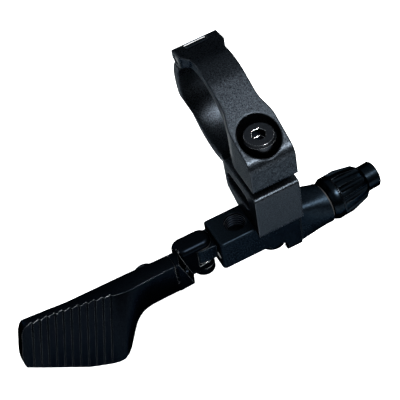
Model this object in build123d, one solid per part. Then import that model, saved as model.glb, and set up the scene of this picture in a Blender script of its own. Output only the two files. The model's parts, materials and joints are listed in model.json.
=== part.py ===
from build123d import *
import math
import os

# Dropper post remote lever, in millimetres.
# X runs along the handlebar, towards the cable adjuster. Z points up, from the lever to the clamp.
# The origin is the centre of the handlebar bore. The clamp bolt is on the -Y side, the hinge on the +Y side.

# Clamp ring
bar_diameter = 22.2
ring_wall = 2.1
ring_width = 8.4
boss_width = 11.0
front_flare_narrow = -10.2
front_flare_wide = -14.0
front_flare_radius = 9.0
back_flare_narrow = 5.0
back_flare_wide = 7.2
back_flare_radius = 3.0
seam_z = -3.4
seam_gap = 2.9
boss_slope = 23.0
boss_front = -23.2
boss_front_radius = 3.0

# Clamp hinge
hinge_angle = 40.7
hinge_offset = 0.1
hinge_skin_angle = 73.0
hinge_back_reach = 1.95
hinge_corner_radius = 0.5
knuckle_radius = 1.9
pin_radius = 1.0
middle_knuckle_width = 5.2
hinge_side_gap = 0.15
hinge_round_gap = 0.2

# Clamp bolt
bolt_y = -17.65
bolt_radius = 2.0
bolt_head_radius = 3.75
bolt_head_height = 4.0
bolt_length = 9.5
bolt_key = 3.0
bolt_key_depth = 2.4
bolt_head_top = 7.3
bolt_travel = 1.5
bolt_edge = 0.5
counterbore_radius = 4.8
washer_height = 0.6
washer_clearance = 0.15
shank_clearance = 0.2
thread_clearance = 0.08

# Foot below the lower jaw
foot_front = -23.3
foot_back = -12.6
foot_bottom = -18.0
foot_lip = 0.8
foot_front_radius = 0.9
foot_neck_y = -4.6
foot_neck_top = -8.0
foot_neck_radius = 4.0
foot_window_length = 10.6
foot_window_height = 4.8
foot_window_y = -14.7
foot_window_z = -11.5

# Body
body_left = -14.3
body_right = 5.4
body_front = -21.4
body_back = -13.2
body_bottom = -26.4
body_corner_radius = 0.9
body_rim_radius = 0.5
boss_left = -2.6
boss_back = -12.0
boss_bottom = -30.5
boss_edge_radius = 0.8
notch_x = -0.2
notch_radius = 2.2
notch_top = -27.2
spare_thread_x = -8.4
spare_thread_y = -17.0
spare_thread_radius = 2.5
spare_thread_depth = 4.0

# Screw that holds the foot on the body
foot_screw_y = -16.4
foot_screw_radius = 2.0
foot_screw_head_radius = 3.3
foot_screw_head_height = 2.8
foot_screw_key = 3.0
foot_screw_key_depth = 1.8
foot_screw_recess_radius = 3.6
foot_screw_recess_top = -26.7
foot_screw_length = 12.0

# Pivot: the body's tongue lies between two ears of the blade
pivot_x = -17.0
pivot_y = -16.0
pivot_shank_radius = 1.5
pivot_head_radius = 2.6
pivot_head_height = 2.7
pivot_head_edge = 0.5
pivot_key = 2.5
pivot_key_depth = 1.6
pivot_thread_end = 0.5
ear_radius = 2.45
ear_top = -18.3
ear_round = 1.2
upper_ear_height = 1.7
lower_ear_height = 1.7
ear_end = -23.7
fork_gap = 5.4
fork_clearance = 0.35
tongue_radius = 2.7
bush_radius = 2.0
bush_flange_radius = 2.4
bush_flange_height = 0.4
bush_middle_gap = 0.2
running_clearance = 0.05
shim_height = 0.3

# Lever blade, whose paddle is drawn on its top face and swept down along a slanting line
arm_front = -20.7
arm_thickness = 4.0
arm_top = -18.2
arm_bottom = -27.4
root_cut_top_back = -22.7
root_cut_top_front = -24.3
root_cut_low_front = -21.4
twist_start = -29.5
twist_end = -37.2
sweep_slant = 0.33
sweep_lean = 20.0
scoop_radius = 100.0
scoop_crest = -63.5
back_curve_start = -48.5
back_curve_radius = 34.0
tip_x = -61.3
tip_low_x = -63.9
tip_bottom = -27.7
heel_x = -40.4
paddle_bottom = -36.4
knee_x = -36.7
knee_z = -26.2
knee_radius = 4.5
heel_radius = 6.5
tip_radius_low = 2.6
tip_radius_top = 2.0
groove_pitch = 1.776
groove_count = 12
groove_start = -39.9
groove_depth = 0.6
groove_wall = 0.2

# Cable path
cable_y = -19.7
cable_z = -23.0
cable_hole_radius = 0.8
liner_wall = 0.25
liner_end = 2.0
anchor_x = -31.2
anchor_z = -21.3
anchor_radius = 1.6
anchor_depth = 2.8
anchor_head_radius = 2.3
anchor_head_height = 1.6
anchor_washer_height = 0.4
anchor_key = 2.0
anchor_key_depth = 0.9

# Cable adjuster, measured from the face of its boss
adjuster_x = 12.3
adjuster_y = -19.3
adjuster_z = -22.9
adjuster_yaw = 4.6
adjuster_boss_radius = 4.8
adjuster_boss_swell = 0.8
adjuster_boss_inset = 0.3
adjuster_boss_corner = 2.0
adjuster_thread_radius = 2.5
adjuster_thread_depth = 5.0
adjuster_thread_room = 0.5
adjuster_end = 14.1
tip_radius = 3.1
tip_edge = 0.3
knob_start = 0.6
knob_end = 10.9
knob_radius = 5.15
knob_edge = 0.6
knob_groove = 3.0
knob_groove_depth = 0.25
knob_shoulder = 5.6
knob_nose_radius = 4.2
knob_nose = 9.6
flute_count = 12
flute_radius = 0.75
flute_lift = 0.2
flute_lean = 7.0
seal_radius = 4.1
seal_gap = 0.1
housing_radius = 2.5
housing_depth = 7.8
seat_radius = 2.2
seat_depth = 1.2

# Values that follow from the ones above
bore_radius = bar_diameter / 2
ring_radius = bore_radius + ring_wall
ear_z = seam_z - seam_gap
hinge_radius = ring_radius + hinge_offset
hinge_y = hinge_radius * math.cos(math.radians(hinge_angle))
hinge_z = hinge_radius * math.sin(math.radians(hinge_angle))
hinge_back = hinge_y + hinge_back_reach
skin_slope = math.radians(hinge_skin_angle)
hinge_back_top = (ring_radius - hinge_back * math.cos(skin_slope)) / math.sin(skin_slope)
knuckle_sweep = math.hypot(hinge_back_reach, hinge_back_top - hinge_z) + hinge_round_gap
bolt_head_base = bolt_head_top - bolt_head_height
counterbore_floor = bolt_head_base - bolt_travel - washer_height
fork_top = ear_top - upper_ear_height
fork_bottom = fork_top - fork_gap
lower_ear_bottom = fork_bottom - lower_ear_height
tongue_top = fork_top - bush_flange_height - running_clearance
tongue_bottom = fork_bottom + shim_height + bush_flange_height + 2 * running_clearance
tongue_middle = (tongue_top + tongue_bottom) / 2
adjuster_heading = math.radians(adjuster_yaw)
adjuster_plane = Plane(
    origin=(adjuster_x, adjuster_y, adjuster_z),
    x_dir=(0, 0, -1),
    z_dir=(math.cos(adjuster_heading), math.sin(adjuster_heading), 0),
)
arm_back = arm_front + arm_thickness
scoop_offset = scoop_radius - math.sqrt(scoop_radius**2 - (twist_end - scoop_crest) ** 2)
scoop_centre_y = arm_front + scoop_offset - scoop_radius
drop = arm_top - paddle_bottom + 4
lean_shift = math.tan(math.radians(sweep_lean))
far = 80.0


def slab(sketch, width, centre=0.0):
    """A sketch drawn with Y to the right and Z up, given a width along X."""
    return extrude(Plane.YZ.offset(centre - width / 2) * sketch, width, dir=(1, 0, 0))


def upright(sketch, z_low, z_high):
    """A sketch drawn in X and Y, raised from one height to another."""
    return extrude(Pos(0, 0, z_low) * sketch, z_high - z_low, dir=(0, 0, 1))


def front_view(sketch, y_front, y_back):
    """A sketch drawn with X to the right and Z up, given a depth along Y."""
    return extrude(Plane.XZ.offset(-y_back) * sketch, y_back - y_front, dir=(0, -1, 0))


def bar_along_x(radius, x_low, x_high, y, z):
    """A round bar parallel to the handlebar."""
    return Pos((x_low + x_high) / 2, y, z) * Rot(0, 90, 0) * Cylinder(radius, x_high - x_low)


def post(radius, z_low, z_high, x, y):
    """A round bar that stands upright."""
    return Pos(x, y, (z_low + z_high) / 2) * Cylinder(radius, z_high - z_low)


def polar(radius, angle):
    """A point round the handlebar, with the angle counted from +Y towards +Z."""
    return (radius * math.cos(math.radians(angle)), radius * math.sin(math.radians(angle)))


def round_corner(sketch, corner, radius):
    """Rounds the corner of a sketch that lies nearest to a point."""
    return fillet(sketch.vertices().sort_by_distance(corner)[0], radius)


def clamp_plan():
    """The clamp seen from above: narrow round the bar, flared to the bolt and to the hinge."""
    wide = boss_width / 2
    narrow = ring_width / 2
    front = ((wide, front_flare_wide), (narrow, front_flare_narrow))
    back = ((narrow, back_flare_narrow), (wide, back_flare_wide))
    half = Polygon((0, -far), (wide, -far), *front, *back, (wide, far), (0, far), align=None)
    for corner in front:
        half = round_corner(half, corner, front_flare_radius)
    for corner in back:
        half = round_corner(half, corner, back_flare_radius)
    return half + mirror(half, about=Plane.YZ)


def clamp_blank(side_view):
    """A jaw's side view given the clamp's width, which changes from front to back."""
    return slab(side_view, 2 * boss_width) & upright(clamp_plan(), -far, far)


def hex_socket(key, depth):
    """A hexagon recess that opens upwards at its origin."""
    across_corners = key / math.cos(math.radians(30))
    return extrude(RegularPolygon(across_corners / 2, 6), -depth)


def upper_outline():
    """The upper jaw seen along the handlebar: the ring's top half and the bolt boss."""
    tangent_angle = 90 + boss_slope
    start = polar(ring_radius, tangent_angle)
    fall = (start[0] - boss_front) * math.tan(math.radians(boss_slope))
    nose = (boss_front, start[1] - fall)
    boss = Polygon((0, seam_z), (0, 0), start, nose, (boss_front, seam_z), align=None)
    boss = round_corner(boss, nose, boss_front_radius)
    hinge_ray = polar(far, hinge_angle)
    keep = Polygon((0, seam_z), (0, 0), hinge_ray, (far, far), (-far, far), (-far, seam_z), align=None)
    return (Circle(ring_radius) + boss) & keep


def outer_knuckle():
    """The upper jaw's hinge end: a flat top that runs off the ring to a square back."""
    skin_start = polar(ring_radius, hinge_skin_angle)
    corner = (hinge_back, hinge_back_top)
    low = hinge_z - pin_radius
    root = polar(bore_radius + ring_wall / 4, hinge_angle + 2)
    block = Polygon(skin_start, corner, (hinge_back, low), (hinge_y, low), root, align=None)
    return round_corner(block, corner, hinge_corner_radius)


def hinge_barrel(radius, width, centre=0.0):
    """A round bar about the hinge pin's axis."""
    return Pos(centre, hinge_y, hinge_z) * Rot(0, 90, 0) * Cylinder(radius, width)


def clamp_upper_jaw():
    """Jaw that carries the bolt head, with a flat skin over the middle knuckle."""
    jaw = clamp_blank(upper_outline()) + clamp_blank(outer_knuckle())
    jaw += hinge_barrel(knuckle_radius, boss_width)
    pocket_width = middle_knuckle_width + 2 * hinge_side_gap
    jaw -= hinge_barrel(knuckle_radius + hinge_round_gap, pocket_width)
    jaw -= Pos(0, hinge_y + far / 2, hinge_z - far / 2) * Box(pocket_width, far, far)
    jaw -= slab(Circle(bore_radius), far)
    jaw -= hinge_barrel(pin_radius + running_clearance, far)
    jaw -= post(bolt_radius + shank_clearance, seam_z - 1, far, 0, bolt_y)
    jaw -= post(counterbore_radius, counterbore_floor, far, 0, bolt_y)
    return jaw


def lower_outline():
    """The lower jaw seen along the handlebar: the ring's lower half, the threaded ear and the foot."""
    lip_back = foot_front + foot_lip * 2
    lip_bottom = foot_bottom - foot_lip
    bend = (foot_neck_y - foot_neck_radius * 0.65, foot_bottom + 3.0)
    shank = Polygon(
        (foot_neck_y, foot_neck_top), (foot_neck_y, foot_neck_top - 4.4), bend, (foot_back, foot_bottom),
        (lip_back, foot_bottom), (lip_back, lip_bottom), (foot_front, lip_bottom), (foot_front, ear_z),
        (foot_neck_top, ear_z), align=None,
    )
    shank = round_corner(shank, bend, foot_neck_radius)
    shank = round_corner(shank, (foot_front, ear_z), foot_front_radius)
    hinge_ray = polar(far, hinge_angle)
    keep = Polygon((0, ear_z), (0, 0), hinge_ray, (far, -far), (-far, -far), (-far, ear_z), align=None)
    return (Circle(ring_radius) + shank) & keep


def clamp_lower_jaw():
    """Jaw that carries the foot and the bolt's thread, with the middle hinge knuckle."""
    jaw = clamp_blank(lower_outline())
    for side in (-1, 1):
        centre = side * (middle_knuckle_width + boss_width) / 2
        jaw -= hinge_barrel(knuckle_sweep, boss_width, centre)
    jaw += hinge_barrel(knuckle_radius, middle_knuckle_width)
    jaw -= slab(Circle(bore_radius), far)
    jaw -= hinge_barrel(pin_radius, far)
    window = Pos(foot_window_y, foot_window_z) * SlotOverall(foot_window_length, foot_window_height)
    jaw -= slab(window, far)
    jaw -= post(bolt_radius + thread_clearance, foot_window_z, ear_z + 1, 0, bolt_y)
    jaw -= post(foot_screw_radius, foot_bottom - 1, foot_window_z, 0, foot_screw_y)
    return jaw


def clamp_hinge_pin():
    """Steel pin through all three knuckles."""
    return hinge_barrel(pin_radius, boss_width - 0.4)


def clamp_bolt():
    """Socket head screw, backed out until its end is just clear of the lower ear."""
    head = post(bolt_head_radius, bolt_head_base, bolt_head_top, 0, bolt_y)
    head = chamfer(head.edges().group_by(Axis.Z)[-1], bolt_edge)
    bolt = head + post(bolt_radius, bolt_head_base - bolt_length, bolt_head_base, 0, bolt_y)
    bolt = chamfer(bolt.edges().group_by(Axis.Z)[0], bolt_edge)
    return bolt - Pos(0, bolt_y, bolt_head_top) * hex_socket(bolt_key, bolt_key_depth)


def washer(outer, inner, z_low, z_high, x, y):
    """A flat ring that lies level."""
    return post(outer, z_low, z_high, x, y) - post(inner, z_low - 1, z_high + 1, x, y)


def clamp_bolt_washer():
    """Washer on the counterbore's floor."""
    top = counterbore_floor + washer_height
    return washer(counterbore_radius - washer_clearance, bolt_radius + shank_clearance, counterbore_floor, top, 0, bolt_y)


def on_adjuster(shape):
    """Puts a shape drawn about Z on the adjuster's axis, with the boss face at zero."""
    return adjuster_plane.location * shape


def tongue():
    """The body's round tongue that the blade's fork turns on."""
    reach = body_left + 1 - pivot_x
    sketch = Pos(pivot_x, pivot_y) * (Circle(tongue_radius) + Pos(reach / 2, 0) * Rectangle(reach, 2 * tongue_radius))
    return upright(sketch, tongue_bottom, tongue_top)


def body_block():
    """The forged block under the foot, with its rounded rim."""
    side = Polygon(
        (body_left, body_bottom), (body_left, foot_bottom), (body_right, foot_bottom), (body_right, body_bottom),
        align=None,
    )
    block = front_view(side, body_front, body_back)
    corner = block.edges().filter_by(Axis.Z).sort_by_distance((body_left, body_front, body_bottom))[0]
    block = fillet(corner, body_corner_radius)
    rim = block.faces().sort_by(Axis.Z)[-1].edges().sort_by(Axis.Y)[0]
    return fillet(rim, body_rim_radius)


def screw_boss():
    """The deeper boss round the foot screw, notched at the front for its head."""
    top = body_bottom + 1
    side = Polygon(
        (boss_left, top), (body_right, top), (body_right, boss_bottom), (boss_left, boss_bottom), align=None
    )
    boss = front_view(side, body_front, boss_back)
    low_front = boss.edges().filter_by(Axis.X).group_by(Axis.Z)[0].sort_by(Axis.Y)[0]
    boss = fillet(low_front, boss_edge_radius)
    arch = Pos(notch_x, notch_top - notch_radius) * Circle(notch_radius)
    return boss - front_view(arch, body_front - 1, foot_screw_y)


def adjuster_boss():
    """Tapering nose that turns the block's end into a round boss."""
    front = body_front - adjuster_boss_swell + adjuster_boss_inset
    back = body_back - adjuster_boss_inset
    low = boss_bottom + adjuster_boss_inset
    high = foot_bottom - adjuster_boss_inset
    rectangle = RectangleRounded(back - front, high - low, adjuster_boss_corner)
    start = Plane.YZ.offset(body_right) * Pos((front + back) / 2, (low + high) / 2) * rectangle
    end = adjuster_plane.location * Circle(adjuster_boss_radius)
    return loft([start.face(), end.face()])


def lever_body():
    """Forged body: block, tongue, screw boss, adjuster boss, thread and cable bore."""
    body = body_block() + screw_boss() + adjuster_boss() + tongue()
    body -= post(foot_screw_radius + shank_clearance, -far, far, 0, foot_screw_y)
    body -= post(foot_screw_recess_radius, -far, foot_screw_recess_top, 0, foot_screw_y)
    body -= post(spare_thread_radius, foot_bottom - spare_thread_depth, far, spare_thread_x, spare_thread_y)
    body -= post(bush_radius, -far, far, pivot_x, pivot_y)
    body -= on_adjuster(Pos(0, 0, -adjuster_thread_depth / 2) * Cylinder(
        adjuster_thread_radius + running_clearance, adjuster_thread_depth))
    body -= bar_along_x(cable_hole_radius, body_left - 1, adjuster_x - adjuster_thread_depth + 1, cable_y, cable_z)
    return body


def foot_screw():
    """Screw that comes up through the body into the foot."""
    top = foot_screw_recess_top - washer_height
    base = top - foot_screw_head_height
    screw = post(foot_screw_head_radius, base, top, 0, foot_screw_y)
    screw += post(foot_screw_radius, top, top + foot_screw_length, 0, foot_screw_y)
    return screw - Pos(0, foot_screw_y, base) * Rot(180, 0, 0) * hex_socket(foot_screw_key, foot_screw_key_depth)


def foot_screw_washer():
    """Washer under the foot screw's head."""
    low = foot_screw_recess_top - washer_height
    outer = foot_screw_recess_radius - washer_clearance
    return washer(outer, foot_screw_radius + shank_clearance, low, foot_screw_recess_top, 0, foot_screw_y)


def scoop_y(x):
    """Place of the scooped thumb face along the blade's top edge."""
    return scoop_centre_y + math.sqrt(scoop_radius**2 - (x - scoop_crest) ** 2)


def twist_section(x_top, shift):
    """One slice of the arm: a strip that slants like the thumb face and leans by its shift per drop."""
    x_low = x_top - sweep_slant * drop
    z_low = arm_top - drop
    corners = [
        (x_top, arm_front, arm_top), (x_top, arm_back, arm_top),
        (x_low, arm_back - shift * drop, z_low), (x_low, arm_front - shift * drop, z_low),
    ]
    return make_face(Polyline(*corners, close=True))


def groove(index):
    """One saw-tooth notch in the thumb face: a long ramp and a short wall."""
    right = groove_start - index * groove_pitch
    left = right - groove_pitch
    deep = (right - groove_wall, scoop_y(right) + groove_depth)
    return Polygon((left, scoop_y(left)), deep, (right, scoop_y(right)), align=None)


def paddle_top():
    """The paddle's top face: hollow towards the thumb, curved back at the tip, with a saw-tooth edge."""
    end = tip_x - 6
    front = arm_front - 4
    back = arm_back + 6
    face = Polygon((end, front), (twist_end, front), (twist_end, back), (end, back), align=None)
    face -= Pos(scoop_crest, scoop_centre_y) * Circle(scoop_radius)
    face -= Pos(back_curve_start, arm_back + back_curve_radius) * Circle(back_curve_radius)
    right_end = twist_end + 1
    face -= Polygon(
        (back_curve_start, arm_back), (right_end, arm_back), (right_end, back), (back_curve_start, back), align=None
    )
    for index in range(groove_count):
        face -= groove(index)
    return face


def blade_outline():
    """The blade seen from the front, with Z up: arm, knee and paddle."""
    knee = (knee_x, knee_z)
    heel = (heel_x, paddle_bottom)
    tip_low = (tip_low_x, tip_bottom)
    tip_high = (tip_x, arm_top)
    outline = Polygon((pivot_x, arm_top), (pivot_x, arm_bottom), knee, heel, tip_low, tip_high, align=None)
    rounds = ((knee, knee_radius), (heel, heel_radius), (tip_low, tip_radius_low), (tip_high, tip_radius_top))
    for corner, radius in rounds:
        outline = round_corner(outline, corner, radius)
    return outline


def blade_blank():
    """Arm, twisted knee and grooved paddle, cut to the outline."""
    sweep = Vector(-sweep_slant, -lean_shift, -1)
    paddle = extrude(Pos(0, 0, arm_top) * paddle_top(), drop * sweep.length, dir=sweep)
    arm = loft([twist_section(pivot_x + 8, 0), twist_section(twist_start, 0)], ruled=True)
    knee = loft([twist_section(twist_start, 0), twist_section(twist_end, lean_shift)], ruled=True)
    return (paddle + arm + knee) & front_view(blade_outline(), -far, 0)


def fork():
    """Root of the blade: a pad behind the arm that carries an ear over and an ear under the tongue."""
    length = pivot_x + ear_radius - ear_end
    pad = upright(Pos(ear_end + length / 2, pivot_y) * SlotOverall(length, 2 * ear_radius), lower_ear_bottom, ear_top)
    return fillet(pad.edges().group_by(Axis.Z)[-1], ear_round)


def lever_blade():
    """One-piece blade: fork, arm and grooved paddle."""
    blade = blade_blank() - root_cut() + fork()
    blade -= post(tongue_radius + fork_clearance, fork_bottom, fork_top, pivot_x, pivot_y)
    blade -= post(pivot_shank_radius + running_clearance, -far, ear_top - pivot_thread_end, pivot_x, pivot_y)
    blade -= bar_along_x(cable_hole_radius, anchor_x - 3, root_cut_low_front + 1, cable_y, cable_z)
    anchor = Pos(anchor_x, arm_back, anchor_z) * Rot(90, 0, 0)
    blade -= anchor * Cylinder(anchor_radius, 2 * anchor_depth)
    return blade


def root_cut():
    """Slanting cut across the arm's root, further to the right at the bottom."""
    top_back = Vector(root_cut_top_back, arm_back, arm_top)
    top_front = Vector(root_cut_top_front, arm_front, arm_top)
    low_front = Vector(root_cut_low_front, arm_front, arm_bottom)
    normal = (top_front - top_back).cross(low_front - top_back).normalized()
    if normal.X < 0:
        normal = normal * -1
    plane = Plane(origin=top_back, z_dir=normal)
    return plane.location * Pos(0, 0, far / 2) * Box(2 * far, 2 * far, far)


def pivot_bolt():
    """Shoulder bolt from below, threaded into the upper ear."""
    base = lower_ear_bottom - pivot_head_height
    head = post(pivot_head_radius, base, lower_ear_bottom, pivot_x, pivot_y)
    head = chamfer(head.edges().group_by(Axis.Z)[0], pivot_head_edge)
    bolt = head + post(pivot_shank_radius, lower_ear_bottom, ear_top - 2 * pivot_thread_end, pivot_x, pivot_y)
    return bolt - Pos(pivot_x, pivot_y, base) * Rot(180, 0, 0) * hex_socket(pivot_key, pivot_key_depth)


def pivot_bush(flange_low, flange_high, sleeve_low, sleeve_high):
    """Flanged plastic bush, pressed into the tongue."""
    bush = post(bush_flange_radius, flange_low, flange_high, pivot_x, pivot_y)
    bush += post(bush_radius, sleeve_low, sleeve_high, pivot_x, pivot_y)
    return bush - post(pivot_shank_radius + running_clearance, -far, far, pivot_x, pivot_y)


def pivot_bush_upper():
    """Bush in the top of the tongue."""
    sleeve_low = tongue_middle + bush_middle_gap / 2
    return pivot_bush(tongue_top, tongue_top + bush_flange_height, sleeve_low, tongue_top)


def pivot_bush_lower():
    """Bush in the bottom of the tongue."""
    sleeve_high = tongue_middle - bush_middle_gap / 2
    return pivot_bush(tongue_bottom - bush_flange_height, tongue_bottom, tongue_bottom, sleeve_high)


def pivot_shim():
    """Thin steel washer between the lower bush and the lower ear."""
    inner = pivot_shank_radius + running_clearance
    return washer(bush_flange_radius, inner, fork_bottom, fork_bottom + shim_height, pivot_x, pivot_y)


def cable_anchor_screw():
    """Screw in the back of the arm that grips the inner cable."""
    seat = arm_back + anchor_washer_height
    head = Pos(anchor_x, seat + anchor_head_height / 2, anchor_z) * Rot(90, 0, 0)
    screw = head * Cylinder(anchor_head_radius, anchor_head_height)
    shank_length = anchor_depth - anchor_washer_height
    shank = Pos(anchor_x, seat - shank_length / 2, anchor_z) * Rot(90, 0, 0)
    screw += shank * Cylinder(anchor_radius, shank_length)
    socket = Pos(anchor_x, seat + anchor_head_height, anchor_z) * Rot(-90, 0, 0)
    return screw - socket * hex_socket(anchor_key, anchor_key_depth)


def cable_anchor_washer():
    """Washer under the anchor screw's head."""
    place = Pos(anchor_x, arm_back + anchor_washer_height / 2, anchor_z) * Rot(90, 0, 0)
    ring = Cylinder(anchor_head_radius, anchor_washer_height)
    return place * (ring - Cylinder(anchor_radius, 2 * anchor_washer_height))


def adjuster_barrel():
    """Hollow threaded barrel that takes the cable housing at its outer end."""
    inner_end = adjuster_thread_room - adjuster_thread_depth
    floor = adjuster_end - housing_depth
    profile = Polygon(
        (cable_hole_radius, inner_end), (adjuster_thread_radius, inner_end), (adjuster_thread_radius, knob_start),
        (tip_radius, knob_start), (tip_radius, adjuster_end - tip_edge), (tip_radius - tip_edge, adjuster_end),
        (housing_radius, adjuster_end), (housing_radius, floor), (seat_radius, floor),
        (seat_radius, floor - seat_depth), (cable_hole_radius, floor - seat_depth), align=None,
    )
    return on_adjuster(revolve(Plane.XZ * profile, Axis.Z))


def knob_blank():
    """The knob's turned form: a collar, a full middle and a tapering nose."""
    waist = knob_radius - knob_groove_depth
    outline = Polygon(
        (tip_radius, knob_start), (knob_radius - knob_edge, knob_start), (knob_radius, knob_start + 2 * knob_edge),
        (knob_radius, knob_groove - knob_groove_depth), (waist, knob_groove),
        (knob_radius, knob_groove + knob_groove_depth), (knob_radius, knob_shoulder),
        (knob_nose_radius, knob_nose), (tip_radius, knob_end), align=None,
    )
    return revolve(Plane.XZ * outline, Axis.Z)


def adjuster_knob():
    """Fluted knob pressed on the barrel."""
    knob = knob_blank()
    length = knob_end - knob_groove
    place = Pos(knob_radius + flute_lift, 0, knob_groove + knob_groove_depth) * Rot(0, -flute_lean, 0)
    flute = place * Pos(0, 0, length / 2) * Cylinder(flute_radius, length)
    for index in range(flute_count):
        knob -= Rot(0, 0, index * 360 / flute_count) * flute
    return on_adjuster(knob)


def adjuster_seal_ring():
    """Rubber ring between the boss and the knob."""
    height = knob_start - seal_gap
    ring = Cylinder(seal_radius, height) - Cylinder(adjuster_thread_radius + running_clearance, 2 * height)
    return on_adjuster(Pos(0, 0, height / 2) * ring)


def housing_ferrule():
    """Ring below the barrel's socket, flush with its floor, that the cable housing butts against."""
    floor = adjuster_end - housing_depth
    ring = Cylinder(seat_radius - running_clearance, seat_depth) - Cylinder(cable_hole_radius, 2 * seat_depth)
    return on_adjuster(Pos(0, 0, floor - seat_depth / 2) * ring)


def cable_liner():
    """Plastic tube that lines the body's cable bore."""
    tube = bar_along_x(cable_hole_radius, body_left, liner_end, cable_y, cable_z)
    return tube - bar_along_x(cable_hole_radius - liner_wall, body_left - 1, liner_end + 1, cable_y, cable_z)


parts = {
    "clamp_upper_jaw": clamp_upper_jaw,
    "clamp_lower_jaw": clamp_lower_jaw,
    "clamp_hinge_pin": clamp_hinge_pin,
    "clamp_bolt": clamp_bolt,
    "clamp_bolt_washer": clamp_bolt_washer,
    "lever_body": lever_body,
    "foot_screw": foot_screw,
    "foot_screw_washer": foot_screw_washer,
    "lever_blade": lever_blade,
    "pivot_bolt": pivot_bolt,
    "pivot_bush_upper": pivot_bush_upper,
    "pivot_bush_lower": pivot_bush_lower,
    "pivot_shim": pivot_shim,
    "cable_anchor_screw": cable_anchor_screw,
    "cable_anchor_washer": cable_anchor_washer,
    "adjuster_barrel": adjuster_barrel,
    "adjuster_knob": adjuster_knob,
    "adjuster_seal_ring": adjuster_seal_ring,
    "housing_ferrule": housing_ferrule,
    "cable_liner": cable_liner,
}

os.makedirs("parts", exist_ok=True)
for name, build in parts.items():
    export_step(build(), os.path.join("parts", name + ".step"))
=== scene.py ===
"""Looks of a dropper post remote lever: clamp, body, blade and cable adjuster, all in black."""

import json
import logging
import math
from dataclasses import dataclass
from enum import Enum

import bmesh
import bpy
from mathutils import Matrix, Vector

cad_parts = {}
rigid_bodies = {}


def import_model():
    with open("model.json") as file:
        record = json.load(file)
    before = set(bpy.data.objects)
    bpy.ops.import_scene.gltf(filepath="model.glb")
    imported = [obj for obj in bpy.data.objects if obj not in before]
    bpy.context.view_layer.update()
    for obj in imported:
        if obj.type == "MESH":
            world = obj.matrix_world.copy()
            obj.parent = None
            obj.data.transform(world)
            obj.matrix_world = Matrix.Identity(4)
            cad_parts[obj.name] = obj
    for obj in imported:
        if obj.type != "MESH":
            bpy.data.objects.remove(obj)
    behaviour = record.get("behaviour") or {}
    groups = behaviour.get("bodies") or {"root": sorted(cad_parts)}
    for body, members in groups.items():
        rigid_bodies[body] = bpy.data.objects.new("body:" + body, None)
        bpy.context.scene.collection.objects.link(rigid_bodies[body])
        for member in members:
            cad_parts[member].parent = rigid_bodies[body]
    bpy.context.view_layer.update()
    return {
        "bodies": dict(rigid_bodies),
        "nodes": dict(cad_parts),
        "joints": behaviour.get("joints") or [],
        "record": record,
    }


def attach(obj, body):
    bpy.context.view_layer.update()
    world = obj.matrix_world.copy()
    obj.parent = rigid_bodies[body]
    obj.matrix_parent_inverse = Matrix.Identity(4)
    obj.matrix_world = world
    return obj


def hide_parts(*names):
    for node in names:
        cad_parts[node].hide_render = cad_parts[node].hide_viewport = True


MM = 0.001
LOG = logging.getLogger("dropper_lever")

# Corners of a solid's mesh that lie nearer together than this are one
MERGE_MM = 0.0005
# Faces laid across a broken edge, and how much sharper than a crease an edge has to be to get them
ROUND_SEGMENTS = 2
ROUND_PAST_DEG = 4
# The roughness wanders over patches this many grains wide
PATCH_GRAINS = 40
# Where on the grain's noise its dark and its light colour are reached
GRAIN_RAMP = (0.35, 0.7)
# How well the rounded normal agrees with the face's own where the painted edge highlight starts, and where it is
# full
EDGE_HIGHLIGHT_START, EDGE_HIGHLIGHT_FULL = 0.95, 0.8
# Samples of the rounded normal, for the thin broken edge and for the wider shoulder
EDGE_SAMPLES, SHOULDER_SAMPLES = 6, 8
# Numbers of the colour sockets of a Mix node: its two colours and its result
MIX_FIRST, MIX_SECOND, MIX_RESULT = 6, 7, 2


class Body(Enum):
    """The parts of the lever that move on their own."""

    MOUNT = "mount_body"
    UPPER_JAW = "upper_jaw"
    BOLT = "bolt"
    LEVER = "lever"
    HOUSING_SEAT = "housing_seat"
    ADJUSTER = "adjuster"


class Slot(Enum):
    """The material slots of the record."""

    CLAMP = "clamp_black"
    BODY = "body_black"
    BLADE = "blade_black"
    KNOB = "knob_black"
    SCREW = "screw_black"
    PIN = "pin_steel"
    BUSH = "bush_plastic"
    LINER = "liner_plastic"
    SEAL = "seal_rubber"


def linear(colour: str) -> tuple[float, float, float, float]:
    """Turns an sRGB hex colour to linear light.

    Args:
        colour: Six hex digits after a hash sign.

    Returns:
        Red, green, blue and full opacity.
    """
    channels = [int(colour[i : i + 2], 16) / 255 for i in (1, 3, 5)]
    light = [c / 12.92 if c <= 0.04045 else ((c + 0.055) / 1.055) ** 2.4 for c in channels]
    return (*light, 1.0)


def add_node(tree: bpy.types.NodeTree, kind: str, links: dict | None = None, **settings: object) -> bpy.types.Node:
    """Adds a shader node with its settings and what feeds it.

    Args:
        tree: The material's or world's node tree.
        kind: Blender's name of the node type.
        links: Socket name or number to the value or output socket that feeds it.
        settings: Properties of the node itself.

    Returns:
        The new node.
    """
    node = tree.nodes.new(kind)
    for name, value in settings.items():
        setattr(node, name, value)
    for socket, value in (links or {}).items():
        if isinstance(value, bpy.types.NodeSocket):
            tree.links.new(value, node.inputs[socket])
        else:
            node.inputs[socket].default_value = value
    return node


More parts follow.
